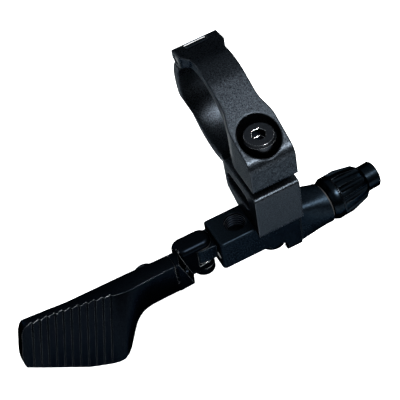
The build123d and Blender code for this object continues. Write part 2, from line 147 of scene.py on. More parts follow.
@dataclass(frozen=True)
class Finish:
    """A surface, from its colour, its polish, the fine relief left by how it was made and a highlight painted on
    its broken edges.

    Attributes:
        name: Name of the material.
        dark: Colour in the hollows of the fine relief: the grain's random tone, darkened there as painted shade.
        light: Colour on its tops: the grain's random tone, lightened there as a painted highlight.
        rough: Roughness of the surface.
        rough_spread: How far the roughness wanders.
        grain_mm: Width of one grain.
        relief_mm: Height of the relief.
        edge_mm: Radius of the broken edges.
        metallic: Share of metal in the surface.
        graze: Grey of the metal's reflection near grazing, which a dyed oxide layer dims.
        edge_highlight_colour: Colour of the highlight painted along its broken edges.
        edge_highlight_strength: How strongly that painted highlight shows there.
        soften_mm: Radius of the wider rounding of its shoulders, where it has one.
    """

    name: str
    dark: str
    light: str
    rough: float = 0.4
    rough_spread: float = 0.08
    grain_mm: float = 0.2
    relief_mm: float = 0.01
    edge_mm: float = 0.2
    metallic: float = 1.0
    graze: str = "#ffffff"
    edge_highlight_colour: str = "#ffffff"
    edge_highlight_strength: float = 0.0
    soften_mm: float = 0.0

    def material(self) -> bpy.types.Material:
        """Builds the material, or finds it if it is there already.

        Returns:
            The material.
        """
        found = bpy.data.materials.get(self.name)
        if found:
            return found
        made = bpy.data.materials.new(self.name)
        made.use_nodes = True
        tree = made.node_tree
        tree.nodes.clear()
        place = add_node(tree, "ShaderNodeTexCoord").outputs["Object"]
        pattern = add_node(tree, "ShaderNodeTexNoise", {
            "Vector": place, "Scale": 1 / (self.grain_mm * MM), "Detail": 3.0,
        }).outputs["Fac"]
        broad = add_node(tree, "ShaderNodeTexNoise", {
            "Vector": place, "Scale": 1 / (PATCH_GRAINS * self.grain_mm * MM), "Detail": 2.0,
        }).outputs["Fac"]
        # The grain's tone follows the relief: painted shade in its hollows and a painted highlight on its tops
        colour = add_node(tree, "ShaderNodeValToRGB", {"Fac": pattern})
        for stop, position, shade in zip(colour.color_ramp.elements, GRAIN_RAMP, (self.dark, self.light)):
            stop.color = linear(shade)
            stop.position = position
        rough = add_node(tree, "ShaderNodeMapRange", {
            "Value": broad, "To Min": self.rough - self.rough_spread, "To Max": self.rough + self.rough_spread,
        }).outputs["Result"]
        edge = self._rounded(tree, self.edge_mm, EDGE_SAMPLES)
        shoulder = self._rounded(tree, self.soften_mm, SHOULDER_SAMPLES) if self.soften_mm else edge
        bump = add_node(tree, "ShaderNodeBump", {
            "Height": pattern, "Distance": self.relief_mm * MM, "Strength": 1.0, "Normal": shoulder,
        }).outputs["Normal"]
        # The base colour carries a highlight painted along the broken edges
        shader = add_node(tree, "ShaderNodeBsdfPrincipled", {
            "Base Color": self._paint_edge_highlight(tree, colour.outputs["Color"], edge), "Metallic": self.metallic,
            "Roughness": rough, "Normal": bump, "Specular Tint": linear(self.graze),
        })
        add_node(tree, "ShaderNodeOutputMaterial", {"Surface": shader.outputs["BSDF"]})
        return made

    def _rounded(self, tree: bpy.types.NodeTree, radius_mm: float, samples: int) -> bpy.types.NodeSocket:
        """The normal that the light meets where the edges are rounded to a radius."""
        return add_node(tree, "ShaderNodeBevel", {"Radius": radius_mm * MM}, samples=samples).outputs["Normal"]

    def _paint_edge_highlight(self, tree: bpy.types.NodeTree, colour: bpy.types.NodeSocket,
              edge: bpy.types.NodeSocket) -> bpy.types.NodeSocket:
        """Paints a highlight on the broken edges as a lighter colour, found where the rounded normal leaves the
        face's own.

        Args:
            tree: The material's node tree.
            colour: The colour of the faces.
            edge: The normal with rounded edges.

        Returns:
            The colour of the faces, with the highlight painted on the edges.
        """
        if self.edge_highlight_strength == 0:
            return colour
        flat = add_node(tree, "ShaderNodeNewGeometry").outputs["Normal"]
        along = add_node(tree, "ShaderNodeVectorMath", {
            0: edge, 1: flat,
        }, operation="DOT_PRODUCT").outputs["Value"]
        edge_highlight_mask = add_node(tree, "ShaderNodeMapRange", {
            "Value": along, "From Min": EDGE_HIGHLIGHT_START, "From Max": EDGE_HIGHLIGHT_FULL, "To Min": 0.0, "To Max": self.edge_highlight_strength,
        }).outputs["Result"]
        mix = add_node(tree, "ShaderNodeMix", {
            "Factor": edge_highlight_mask, MIX_FIRST: colour, MIX_SECOND: linear(self.edge_highlight_colour),
        }, data_type="RGBA")
        return mix.outputs[MIX_RESULT]


# The real marks of beads, dies and cutters are under 0.1 mm wide. They are drawn 0.2 to 0.3 mm wide, about a
# pixel of the photograph's frame, because finer ones wouldn't show.

# Black anodised aluminium, blasted with fine beads: a dark, even sheen with sparkling grains, partly painted as
# lighter colour on the relief's tops, soft shoulders, sides that turn grey where they are seen at a slant, and a
# highlight painted along its broken edges
BLASTED_BLACK = Finish(
    "blasted_black_anodised", "#0b0d10", "#30353a", rough=0.36, grain_mm=0.24, relief_mm=0.03,
    graze="#9a9ea0", edge_highlight_colour="#6a7077", edge_highlight_strength=0.35, soften_mm=0.6,
)
# Black anodised aluminium, forged and tumbled: smoother and deeper, with a faint highlight painted along its edges
FORGED_BLACK = Finish(
    "forged_black_anodised", "#0a0f14", "#151c22", rough=0.42, grain_mm=0.3, relief_mm=0.002,
    graze="#262b30", edge_highlight_colour="#4c5258", edge_highlight_strength=0.3,
)
# Black anodised aluminium, machined: almost pure black, with thin highlights painted along its sharp edges
BLADE_BLACK = Finish(
    "machined_black_anodised", "#04060a", "#0a0e12", rough=0.34, grain_mm=0.25, relief_mm=0.002,
    edge_mm=0.14, graze="#24282c", edge_highlight_colour="#8d9396", edge_highlight_strength=0.4,
)
# Black anodised aluminium, turned and glossy: sharp highlights on collar and flutes, and a dim highlight painted
# along its edges
KNOB_BLACK = Finish(
    "turned_black_anodised", "#080c10", "#10161b", rough=0.24, rough_spread=0.04, grain_mm=0.3,
    relief_mm=0.002, graze="#3c4146", edge_highlight_colour="#4a5056", edge_highlight_strength=0.3,
)
# Black oxide on alloy steel, oiled: dark but clearly metallic, with a bright highlight painted along its edges
OXIDE_STEEL = Finish(
    "black_oxide_steel", "#1e2023", "#303337", rough=0.2, grain_mm=0.25, relief_mm=0.002,
    graze="#6c7074", edge_highlight_colour="#c8cacc", edge_highlight_strength=0.9,
)
# Cut thread in anodised aluminium, with a highlight painted on its crests
CUT_THREAD = Finish(
    "cut_thread_black", "#0e1216", "#1c2228", rough=0.3, grain_mm=0.2, relief_mm=0.002,
    edge_highlight_colour="#b0b4b8", edge_highlight_strength=0.8,
)
# Bare ground steel under old oil: a dull dark grey
GROUND_STEEL = Finish("ground_steel", "#3a3d40", "#54575a", rough=0.45, grain_mm=0.2, relief_mm=0.003)
# Moulded acetal: plain black with a soft sheen
ACETAL = Finish("moulded_acetal", "#0a0b0c", "#101112", rough=0.5, metallic=0.0, grain_mm=0.3, relief_mm=0.004)
# Moulded rubber: dull black without a highlight
RUBBER = Finish("moulded_rubber", "#08090a", "#0e0f10", rough=0.7, metallic=0.0, grain_mm=0.25)
# Extruded polymer liner: pale, even and slightly glossy
LINER = Finish("extruded_liner", "#9a9c9b", "#b2b4b3", rough=0.45, metallic=0.0, grain_mm=0.3, relief_mm=0.003)


@dataclass
class DressedNode:
    """A solid of the frame, shown as a merged and smoothly shaded copy in its own finish.

    Attributes:
        node: Name of the solid.
        body: The moving part that it rides on.
        slot: Its material slot.
        finish: Its surface.
        crease_deg: The angle from which an edge stays sharp.
        round_mm: Radius of its broken edges, where they show.
        flat_deg: The angle up to which neighbouring faces are taken as one.
    """

    node: str
    body: Body
    slot: Slot
    finish: Finish
    crease_deg: float = 28.0
    round_mm: float = 0.0
    flat_deg: float = 1.0

    def build(self, frame: dict) -> bpy.types.Object:
        """Copies the solid's mesh, merges it, breaks its edges, shades it and gives it its finish.


        Returns:
            The finished piece.
        """
        mesh = frame["nodes"][self.node].data.copy()
        mesh.name = f"{self.node}_skin"
        shape = bmesh.new()
        shape.from_mesh(mesh)
        bmesh.ops.remove_doubles(shape, verts=shape.verts, dist=MERGE_MM * MM)
        self.reshape(shape)
        if self.round_mm:
            self.flatten(shape)
        shape.to_mesh(mesh)
        shape.free()
        smooth(mesh, self.crease_deg)
        piece = finish_piece(f"{self.node}_skin", mesh, self.body, self.slot.value, self.finish, self.node)
        if self.round_mm:
            rounding = piece.modifiers.new("broken_edges", "BEVEL")
            rounding.width = self.round_mm * MM
            rounding.segments = ROUND_SEGMENTS
            rounding.limit_method = "ANGLE"
            rounding.angle_limit = math.radians(self.crease_deg + ROUND_PAST_DEG)
            rounding.harden_normals = True
        return piece

    def reshape(self, shape: bmesh.types.BMesh) -> None:
        """Changes nothing: a piece with a form of its own overrides this."""

    def flatten(self, shape: bmesh.types.BMesh) -> None:
        """Joins the solid's triangles that lie in one plane."""
        flat = math.radians(self.flat_deg)
        bmesh.ops.dissolve_limit(shape, angle_limit=flat, verts=shape.verts, edges=shape.edges)


def smooth(mesh: bpy.types.Mesh, crease_deg: float) -> None:
    """Shades a mesh smoothly, apart from its edges sharper than an angle.

    Args:
        mesh: The mesh to shade.
        crease_deg: The angle from which an edge stays sharp.
    """
    if mesh.attributes.get("custom_normal"):
        mesh.attributes.remove(mesh.attributes["custom_normal"])
    mesh.shade_smooth()
    mesh.set_sharp_from_angle(angle=math.radians(crease_deg))
    mesh.update()


def finish_piece(name: str, mesh: bpy.types.Mesh, body: Body, slot: str, finish: Finish,
                 *replaced: str) -> bpy.types.Object:
    """Makes an object of a mesh, dresses it and hands it to the frame.

    Args:
        name: Name of the piece.
        mesh: Its mesh, in metres in the object's own frame.
        body: The moving part that it rides on.
        slot: The name of its material slot in the record.
        finish: Its surface.
        replaced: The solids that it stands for.

    Returns:
        The finished piece.
    """
    piece = bpy.data.objects.new(name, mesh)
    bpy.context.scene.collection.objects.link(piece)
    mesh.materials.clear()
    mesh.materials.append(finish.material())
    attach(piece, body.value)
    if replaced:
        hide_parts(*replaced)
    LOG.info("%s: %d faces", name, len(mesh.polygons))
    return piece


@dataclass
class LowerJaw(DressedNode):
    """The fixed jaw: narrow behind the bar, and flared to its full width early along the shank.

    Attributes:
        ring_half_mm: Half the width of the narrow ring.
        shank_half_mm: Half the full width of the shank.
        flare_mm: Where along Y the flare starts and ends.
        cheek_mm: Heights between which the hinge's wide cheek runs out.
        shank_top_mm: Height below which the flare is drawn.
        slack_mm: How far inside the ring's sides a corner still counts as on them.
    """

    ring_half_mm: float = 4.2
    shank_half_mm: float = 5.5
    flare_mm: tuple[float, float] = (-4.5, -8.5)
    cheek_mm: tuple[float, float] = (-5.0, -9.5)
    shank_top_mm: float = -3.0
    slack_mm: float = 0.1

    def reshape(self, shape: bmesh.types.BMesh) -> None:
        """Draws the ring's sides in behind the bar and the shank's sides out in front of it.

        Args:
            shape: The jaw.
        """
        start, end = self.flare_mm
        high, low = self.cheek_mm
        spread = self.shank_half_mm - self.ring_half_mm
        for corner in shape.verts:
            x, y, z = corner.co / MM
            if abs(x) < self.ring_half_mm - self.slack_mm:
                continue
            if y > 0:
                half = self.shank_half_mm - spread * min(max((high - z) / (high - low), 0.0), 1.0)
                corner.co.x = math.copysign(min(abs(x), half) * MM, x)
            elif y < start and z < self.shank_top_mm:
                half = self.ring_half_mm + spread * min((start - y) / (start - end), 1.0)
                corner.co.x = math.copysign(max(abs(x), half) * MM, x)


@dataclass
class Clamp:
    """Both jaws with their hinge pin, bolt and washer.

    Attributes:
        broken_mm: Radius of the jaws' broken edges.
    """

    broken_mm: float = 0.25

    def build(self, frame: dict) -> None:
        """Dresses the clamp's solids.
        """
        upper = DressedNode("clamp_upper_jaw", Body.UPPER_JAW, Slot.CLAMP, BLASTED_BLACK, round_mm=self.broken_mm)
        lower = LowerJaw("clamp_lower_jaw", Body.MOUNT, Slot.CLAMP, BLASTED_BLACK, round_mm=self.broken_mm)
        pin = DressedNode("clamp_hinge_pin", Body.MOUNT, Slot.PIN, GROUND_STEEL)
        bolt = DressedNode("clamp_bolt", Body.BOLT, Slot.SCREW, OXIDE_STEEL)
        washer = DressedNode("clamp_bolt_washer", Body.UPPER_JAW, Slot.SCREW, OXIDE_STEEL)
        for piece in (upper, lower, pin, bolt, washer):
            piece.build(frame)


@dataclass
class BodyForging(DressedNode):
    """The forged body, whose screw boss is open to the left and hangs a little lower on the right.

    Attributes:
        leg_x_mm: The boss has no wall left of this.
        leg_top_mm: Height of its lower edge there.
        boss_low_mm: Height below which the boss is drawn down.
        boss_drop_mm: How far.
    """

    leg_x_mm: float = -2.0
    leg_top_mm: float = -27.3
    boss_low_mm: float = -30.0
    boss_drop_mm: float = 0.4

    def reshape(self, shape: bmesh.types.BMesh) -> None:
        """Opens the boss on its left and draws its right side down.

        Args:
            shape: The body.
        """
        for corner in shape.verts:
            x, _, z = corner.co / MM
            if x < self.leg_x_mm and z < self.leg_top_mm:
                corner.co.z = self.leg_top_mm * MM
            elif z < self.boss_low_mm:
                corner.co.z -= self.boss_drop_mm * MM


@dataclass
class LongHead(DressedNode):
    """A screw whose head reaches further down than its solid's.

    Attributes:
        longer_mm: How much further.
        below_mm: Height below which the head is drawn down.
    """

    longer_mm: float = 0.7
    below_mm: float = -28.0

    def reshape(self, shape: bmesh.types.BMesh) -> None:
        """Draws the lower part of the head down."""
        low = [corner for corner in shape.verts if corner.co.z < self.below_mm * MM]
        bmesh.ops.translate(shape, verts=low, vec=(0, 0, -self.longer_mm * MM))


@dataclass
class SpareThread:
    """Crests of the thread in the body's spare foot hole.

    Attributes:
        centre_mm: Middle of the hole, in X and Y.
        top_mm: Height where the thread starts.
        radius_mm: Radius of the hole.
        root_mm: How deep a crest's foot sits in the hole's wall.
        depth_mm: How far a crest stands out of the wall.
        pitch_mm: Spacing of the crests.
        flank: Half the width of a crest's foot, as a share of the pitch.
        turns: Number of turns.
        steps: Pieces in one turn.
        crease_deg: The angle from which an edge stays sharp.
    """

    centre_mm: tuple[float, float]
    top_mm: float
    radius_mm: float
    root_mm: float = 0.02
    depth_mm: float = 0.35
    pitch_mm: float = 0.8
    flank: float = 0.4
    turns: int = 6
    steps: int = 48
    crease_deg: float = 20.0

    def build(self) -> bpy.types.Object:
        """Winds one ridge down the hole.

        Returns:
            The finished piece.
        """
        shape = bmesh.new()
        wall, crest = self.radius_mm + self.root_mm, self.radius_mm - self.depth_mm
        half = self.flank * self.pitch_mm
        ring = [shape.verts.new(Vector((r, 0, z)) * MM) for r, z in ((wall, half), (wall, -half), (crest, 0))]
        face = shape.faces.new(ring)
        bmesh.ops.spin(
            shape, geom=[face, *face.edges, *face.verts], axis=(0, 0, 1), cent=(0, 0, 0),
            dvec=(0, 0, -self.pitch_mm * MM / self.steps), angle=math.tau * self.turns,
            steps=self.turns * self.steps, use_merge=False,
        )
        place = Vector((*self.centre_mm, self.top_mm - self.pitch_mm)) * MM
        bmesh.ops.translate(shape, verts=shape.verts, vec=place)
        bmesh.ops.recalc_face_normals(shape, faces=shape.faces)
        mesh = bpy.data.meshes.new("spare_foot_thread")
        shape.to_mesh(mesh)
        shape.free()
        smooth(mesh, self.crease_deg)
        return finish_piece("spare_foot_thread", mesh, Body.MOUNT, Slot.BODY.value, CUT_THREAD)


@dataclass
class LeverBody:
    """The forged body with its fixed screw, bushes, liner and seal.

    Attributes:
        broken_mm: Radius of the body's broken edges.
        spare_centre_mm: Middle of the spare foot hole, in X and Y.
        spare_radius_mm: Its radius.
        spare_top_mm: Height of the face that it is cut in.
    """

    broken_mm: float = 0.3
    spare_centre_mm: tuple[float, float] = (-8.4, -17.0)
    spare_radius_mm: float = 2.5
    spare_top_mm: float = -18.0

    def build(self, frame: dict) -> None:
        """Dresses the body's solids and winds the thread of its spare hole.
        """
        BodyForging("lever_body", Body.MOUNT, Slot.BODY, FORGED_BLACK, round_mm=self.broken_mm).build(frame)
        LongHead("foot_screw", Body.MOUNT, Slot.SCREW, BLADE_BLACK).build(frame)
        DressedNode("foot_screw_washer", Body.MOUNT, Slot.SCREW, OXIDE_STEEL).build(frame)
        DressedNode("pivot_bush_upper", Body.MOUNT, Slot.BUSH, ACETAL).build(frame)
        DressedNode("pivot_bush_lower", Body.MOUNT, Slot.BUSH, ACETAL).build(frame)
        DressedNode("cable_liner", Body.MOUNT, Slot.LINER, LINER).build(frame)
        DressedNode("adjuster_seal_ring", Body.MOUNT, Slot.SEAL, RUBBER).build(frame)
        SpareThread(self.spare_centre_mm, self.spare_top_mm, self.spare_radius_mm).build()


@dataclass(frozen=True)
class Station:
    """One slice of the blade.

    Attributes:
        place_mm: Its X on the blade's top face.
        front_mm: Y of the front face there.
        back_mm: Y of the back face there.
        low_mm: How far it reaches below the top face.
        high_mm: How far below the top face it starts.
    """

    place_mm: float
    front_mm: float
    back_mm: float
    low_mm: float
    high_mm: float = 0.0

    def toward(self, other: "Station", place_mm: float) -> "Station":
        """Makes a slice between this one and another.

        Args:
            other: The other slice.
            place_mm: X of the new one on the blade's top face.

        Returns:
            The new slice.
        """
        share = (place_mm - self.place_mm) / (other.place_mm - self.place_mm)
        mixed = [
            getattr(self, name) + share * (getattr(other, name) - getattr(self, name))
            for name in ("front_mm", "back_mm", "low_mm", "high_mm")
        ]
        return Station(place_mm, *mixed)


@dataclass(frozen=True)
class ThumbGrooves:
    """The saw-tooth of grooves down the paddle's front: a steep wall, then a long slope back out.

    Attributes:
        count: Number of grooves.
        start_mm: X where the first one starts.
        pitch_mm: Their spacing.
        wall_mm: Width of the steep wall.
        depth_mm: Their depth at the top face.
        reach: Share of the paddle's height over which they grow shallow.
        foot: Share of the depth left below that.
        slack: How far past the first or last groove a slice still counts, in pitches.
        nudge: Keeps a slice on a groove's edge from falling into the one before, in pitches.
    """

    count: int = 11
    start_mm: float = -40.4
    pitch_mm: float = 1.78
    wall_mm: float = 0.3
    depth_mm: float = 0.55
    reach: float = 0.3
    foot: float = 0.06
    slack: float = 0.001
    nudge: float = 0.0001

    def places(self) -> list[float]:
        """Lists where the paddle's slices lie: before and behind each steep wall, and at the end.

        Returns:
            Their X on the blade's top face.
        """
        made = []
        for index in range(self.count):
            edge = self.start_mm - index * self.pitch_mm
            made += [edge, edge - self.wall_mm]
        return [*made, self.start_mm - self.count * self.pitch_mm]

    def depth_at(self, place_mm: float, row: float) -> float:
        """Works out how deep the front face is cut.

        Args:
            place_mm: X on the blade's top face.
            row: Share of the paddle's height below that face.

        Returns:
            The depth in millimetres.
        """
        along = (self.start_mm - place_mm) / self.pitch_mm
        if along < -self.slack or along > self.count + self.slack:
            return 0.0
        across = (along + self.nudge) % 1.0 * self.pitch_mm
        slope_mm = self.pitch_mm - self.wall_mm
        ramp = across / self.wall_mm if across <= self.wall_mm else (self.pitch_mm - across) / slope_mm
        fade = max(1.0 - row / self.reach, 0.0)
        return self.depth_mm * ramp * (self.foot + (1 - self.foot) * fade)


@dataclass
class BladeForging(DressedNode):
    """The blade: the solid's fork and root, and an arm and paddle drawn out of its cut end.

    Attributes:
        cut_mm: X of the slice that the arm is drawn from.
        root_mm: X up to which the arm's long edges run on along the solid.
        top_mm: Height of the blade's top face.
        rows: Rows of faces down the blade.
        upright_mm: An edge of the cut face that rises by more than this is one of its uprights.
        slant: How far a slice goes left for each millimetre down.
        lean: How far the paddle's slices come forward for each millimetre down.
        lean_mm: Where along the arm the lean starts and is full.
        grooves: The paddle's thumb grooves.
        arm_mm: Slices of the arm and knee.
        paddle_mm: Slices of the paddle.
        tip_mm: Slices of the rounded tip.
        tip_end_mm: X past which a face can be the tip's end.
        tip_corners: The tip's end face has more corners than this.
        edge_mm: Radius of the broken edges.
        seam_mm: How near the cut a corner counts as drawn from it.
        level_mm: How far a long edge of the root may rise or lie off its height.
        flush_mm: How far it may lie off the arm's side.
        hair_mm: How far before the first groove an edge counts as grooved.
    """

    cut_mm: float = -25.2
    root_mm: float = -21.0
    top_mm: float = -18.2
    rows: int = 9
    upright_mm: float = 2.0
    slant: float = 0.33
    lean: float = 0.364
    lean_mm: tuple[float, float] = (-28.5, -38.5)
    grooves: ThumbGrooves = ThumbGrooves()
    arm_mm: tuple[Station, ...] = (
        Station(-26.0, -20.7, -16.7, 9.22), Station(-27.5, -20.7, -16.68, 9.3),
        Station(-29.0, -20.71, -16.62, 9.3), Station(-30.4, -20.73, -16.55, 9.2),
        Station(-31.6, -20.75, -16.48, 9.1), Station(-32.6, -20.78, -16.42, 9.3),
        Station(-33.3, -20.82, -16.4, 9.75), Station(-33.8, -20.86, -16.38, 10.5),
        Station(-34.3, -20.9, -16.35, 11.7), Station(-34.8, -20.94, -16.33, 13.2),
        Station(-35.4, -20.97, -16.3, 14.45), Station(-36.3, -21.0, -16.3, 15.15),
        Station(-37.5, -20.93, -16.25, 15.45), Station(-38.8, -20.65, -16.22, 15.6),
    )
    paddle_mm: tuple[Station, ...] = (
        Station(-40.4, -20.27, -16.2, 15.6), Station(-45.4, -19.34, -16.12, 14.75),
        Station(-49.8, -18.55, -16.05, 13.35), Station(-54.3, -17.85, -15.6, 11.85),
        Station(-59.98, -17.54, -15.1, 9.45),
    )
    tip_mm: tuple[Station, ...] = (
        Station(-60.35, -17.5, -15.05, 8.9, 0.15), Station(-60.7, -17.48, -15.02, 8.1, 0.6),
        Station(-60.95, -17.46, -15.0, 7.0, 1.4),
    )
    tip_end_mm: float = -60.0
    tip_corners: int = 6
    edge_mm: float = 0.35
    seam_mm: float = 0.05
    level_mm: float = 0.15
    flush_mm: float = 0.02
    hair_mm: float = 0.01

    def reshape(self, shape: bmesh.types.BMesh) -> None:
        """Cuts the solid's arm off and draws the detailed arm and paddle out of the cut.

        Args:
            shape: The blade.
        """
        self.flatten(shape)
        cut = bmesh.ops.bisect_plane(
            shape, geom=[*shape.verts, *shape.edges, *shape.faces], plane_co=(self.cut_mm * MM, 0, 0),
            plane_no=(-1, 0, 0), clear_outer=True,
        )["geom_cut"]
        rim = [edge for edge in cut if isinstance(edge, bmesh.types.BMEdge) and edge.is_boundary]
        faces = bmesh.ops.edgeloop_fill(shape, edges=rim)["faces"]
        start = max(faces, key=lambda face: face.calc_area())
        row, side = self._mark(shape, start)
        for station in (*self.arm_mm, *self._paddle(), *self.tip_mm):
            start = self._draw(shape, start, station, row, side)
        self._break_edges(shape, row, side)

    def _mark(self, shape: bmesh.types.BMesh,
              start: bmesh.types.BMFace) -> tuple[bmesh.types.BMLayerItem, bmesh.types.BMLayerItem]:
        """Divides the cut face's upright edges and marks its corners with their row and side.

        Args:
            shape: The blade.
            start: The cut face.

        Returns:
            The layers that hold each corner's row, 0 to 1 down, and side, 0 in front and 1 behind.
        """
        row = shape.verts.layers.float.new("row")
        side = shape.verts.layers.float.new("side")
        tall = self.upright_mm * MM
        upright = [edge for edge in start.edges if abs(edge.verts[0].co.z - edge.verts[1].co.z) > tall]
        bmesh.ops.subdivide_edges(shape, edges=upright, cuts=self.rows - 1)
        heights = [corner.co.z for corner in start.verts]
        depths = [corner.co.y for corner in start.verts]
        for corner in start.verts:
            corner[row] = (max(heights) - corner.co.z) / (max(heights) - min(heights))
            corner[side] = 1.0 if corner.co.y > (max(depths) + min(depths)) / 2 else 0.0
        for corner in start.verts:
            corner.co.z = (self.top_mm - corner[row] * self.arm_mm[0].low_mm) * MM
        return row, side

    def _paddle(self) -> list[Station]:
        """The paddle's slices, one wherever the grooves need it."""
        return [self._between(place) for place in self.grooves.places()]

    def _between(self, place_mm: float) -> Station:
        """Makes a slice of the paddle.

        Args:
            place_mm: Its X on the blade's top face.

        Returns:
            The slice.
        """
        for left, right in zip(self.paddle_mm, self.paddle_mm[1:]):
            if place_mm >= right.place_mm:
                return left.toward(right, place_mm)
        return self.paddle_mm[-1]

    def _lean_at(self, place_mm: float) -> float:
        """Works out how far a slice comes forward for each millimetre down, eased in along the arm.

        Args:
            place_mm: Its X on the blade's top face.

        Returns:
            Millimetres forward for each one down.
        """
        start, end = self.lean_mm
        full = min(max((start - place_mm) / (start - end), 0.0), 1.0)
        return self.lean * full * full * (3 - 2 * full)

    def _draw(self, shape: bmesh.types.BMesh, face: bmesh.types.BMFace, station: Station,
              row: bmesh.types.BMLayerItem, side: bmesh.types.BMLayerItem) -> bmesh.types.BMFace:
        """Draws the end face out to the next slice.

        Args:
            shape: The blade.
            face: Its end face.
            station: The next slice.
            row: Layer of each corner's row.
            side: Layer of each corner's side.

        Returns:
            The new end face.
        """
        made = bmesh.ops.extrude_face_region(shape, geom=[face])["geom"]
        if face.is_valid:
            bmesh.ops.delete(shape, geom=[face], context="FACES_ONLY")
        lean = self._lean_at(station.place_mm)
        for corner in (item for item in made if isinstance(item, bmesh.types.BMVert)):
            down = station.high_mm + corner[row] * (station.low_mm - station.high_mm)
            front = station.front_mm + self.grooves.depth_at(station.place_mm, corner[row])
            y = station.back_mm if corner[side] > 0.5 else front
            corner.co = Vector((station.place_mm - self.slant * down, y - lean * down, self.top_mm - down)) * MM
        return next(item for item in made if isinstance(item, bmesh.types.BMFace))

    def _break_edges(self, shape: bmesh.types.BMesh, row: bmesh.types.BMLayerItem,
                     side: bmesh.types.BMLayerItem) -> None:
        """Rounds the long edges of the arm and paddle, apart from the grooved one, and the tip's end.

        Args:
            shape: The blade.
            row: Layer of each corner's row.
            side: Layer of each corner's side.
        """
        groove_start = (self.grooves.start_mm + self.hair_mm) * MM
        chosen = []
        for edge in shape.edges:
            left, right = sorted(edge.verts, key=lambda corner: corner.co.x)
            rows = {round(left[row], 3), round(right[row], 3)}
            drawn = right.co.x < (self.cut_mm + self.seam_mm) * MM
            long = drawn and rows in ({0.0}, {1.0}) and left[side] == right[side]
            grooved = rows == {0.0} and left[side] == 0.0 and left.co.x < groove_start
            if (long and not grooved) or self._at_tip(edge) or self._at_root(edge):
                chosen.append(edge)
        bmesh.ops.bevel(
            shape, geom=chosen, affect="EDGES", offset=self.edge_mm * MM, segments=2, profile=0.5, material=-1,
            clamp_overlap=False,
        )

    def _at_root(self, edge: bmesh.types.BMEdge) -> bool:
        """Tells the long edges between the cut and the blade's root.

        Args:
            edge: An edge of the blade.

        Returns:
            Whether it is one of them.
        """
        first, second = (corner.co / MM for corner in edge.verts)
        arm = self.arm_mm[0]
        upright = min(abs(first.z - self.top_mm), abs(first.z - self.top_mm + arm.low_mm))
        across = min(abs(first.y - arm.front_mm), abs(first.y - arm.back_mm))
        level = abs(first.z - second.z) < self.level_mm and abs(first.y - second.y) < self.flush_mm
        along = self.cut_mm - self.seam_mm < min(first.x, second.x) < self.root_mm
        return level and upright < self.level_mm and across < self.flush_mm and along

    def _at_tip(self, edge: bmesh.types.BMEdge) -> bool:
        """Tells the edges on the rim of the tip's end face.

        Args:
            edge: An edge of the blade.

        Returns:
            Whether it is one of them.
        """
        end = self.tip_end_mm * MM
        return any(
            len(face.verts) > self.tip_corners and face.calc_center_median().x < end for face in edge.link_faces
        )


@dataclass
class SunkNode(DressedNode):
    """A fastener that sits deeper in the blade than its solid does.

    Attributes:
        sink_mm: How much deeper.
    """

    sink_mm: float = 0.8

    def reshape(self, shape: bmesh.types.BMesh) -> None:
        """Moves the fastener into the blade."""
        bmesh.ops.translate(shape, verts=shape.verts, vec=(0, -self.sink_mm * MM, 0))


@dataclass
class Blade:
    """The lever blade with its pivot bolt, shim and the cable's anchor."""

    def build(self, frame: dict) -> None:
        """Dresses the blade's solids.
        """
        BladeForging("lever_blade", Body.LEVER, Slot.BLADE, BLADE_BLACK).build(frame)
        DressedNode("pivot_bolt", Body.LEVER, Slot.SCREW, BLADE_BLACK).build(frame)
        DressedNode("pivot_shim", Body.LEVER, Slot.PIN, OXIDE_STEEL).build(frame)
        SunkNode("cable_anchor_screw", Body.LEVER, Slot.SCREW, OXIDE_STEEL).build(frame)
        SunkNode("cable_anchor_washer", Body.LEVER, Slot.SCREW, OXIDE_STEEL).build(frame)


@dataclass
class Adjuster:
    """The fluted knob, its barrel and the housing's stop ring."""

    def build(self, frame: dict) -> None:
        """Dresses the adjuster's solids.
        """
        DressedNode("adjuster_knob", Body.ADJUSTER, Slot.KNOB, KNOB_BLACK).build(frame)
        DressedNode("adjuster_barrel", Body.ADJUSTER, Slot.KNOB, KNOB_BLACK).build(frame)
        DressedNode("housing_ferrule", Body.HOUSING_SEAT, Slot.PIN, GROUND_STEEL).build(frame)


@dataclass(frozen=True)
class Lamp:
    """A soft square lamp that faces the object.

    Attributes:
        name: Name of the lamp.
        place_m: Where it hangs.
        size_m: Its width.
        watts: Its power.
    """

    name: str
    place_m: tuple[float, float, float]
    size_m: float
    watts: float

    def build(self) -> None:
        """Hangs the lamp."""
        data = bpy.data.lights.new(self.name, "AREA")
        data.size = self.size_m
        data.energy = self.watts
        lamp = bpy.data.objects.new(self.name, data)
        place = Vector(self.place_m)
        lamp.location = place
        lamp.rotation_euler = place.to_track_quat("Z", "Y").to_euler()
        bpy.context.scene.collection.objects.link(lamp)


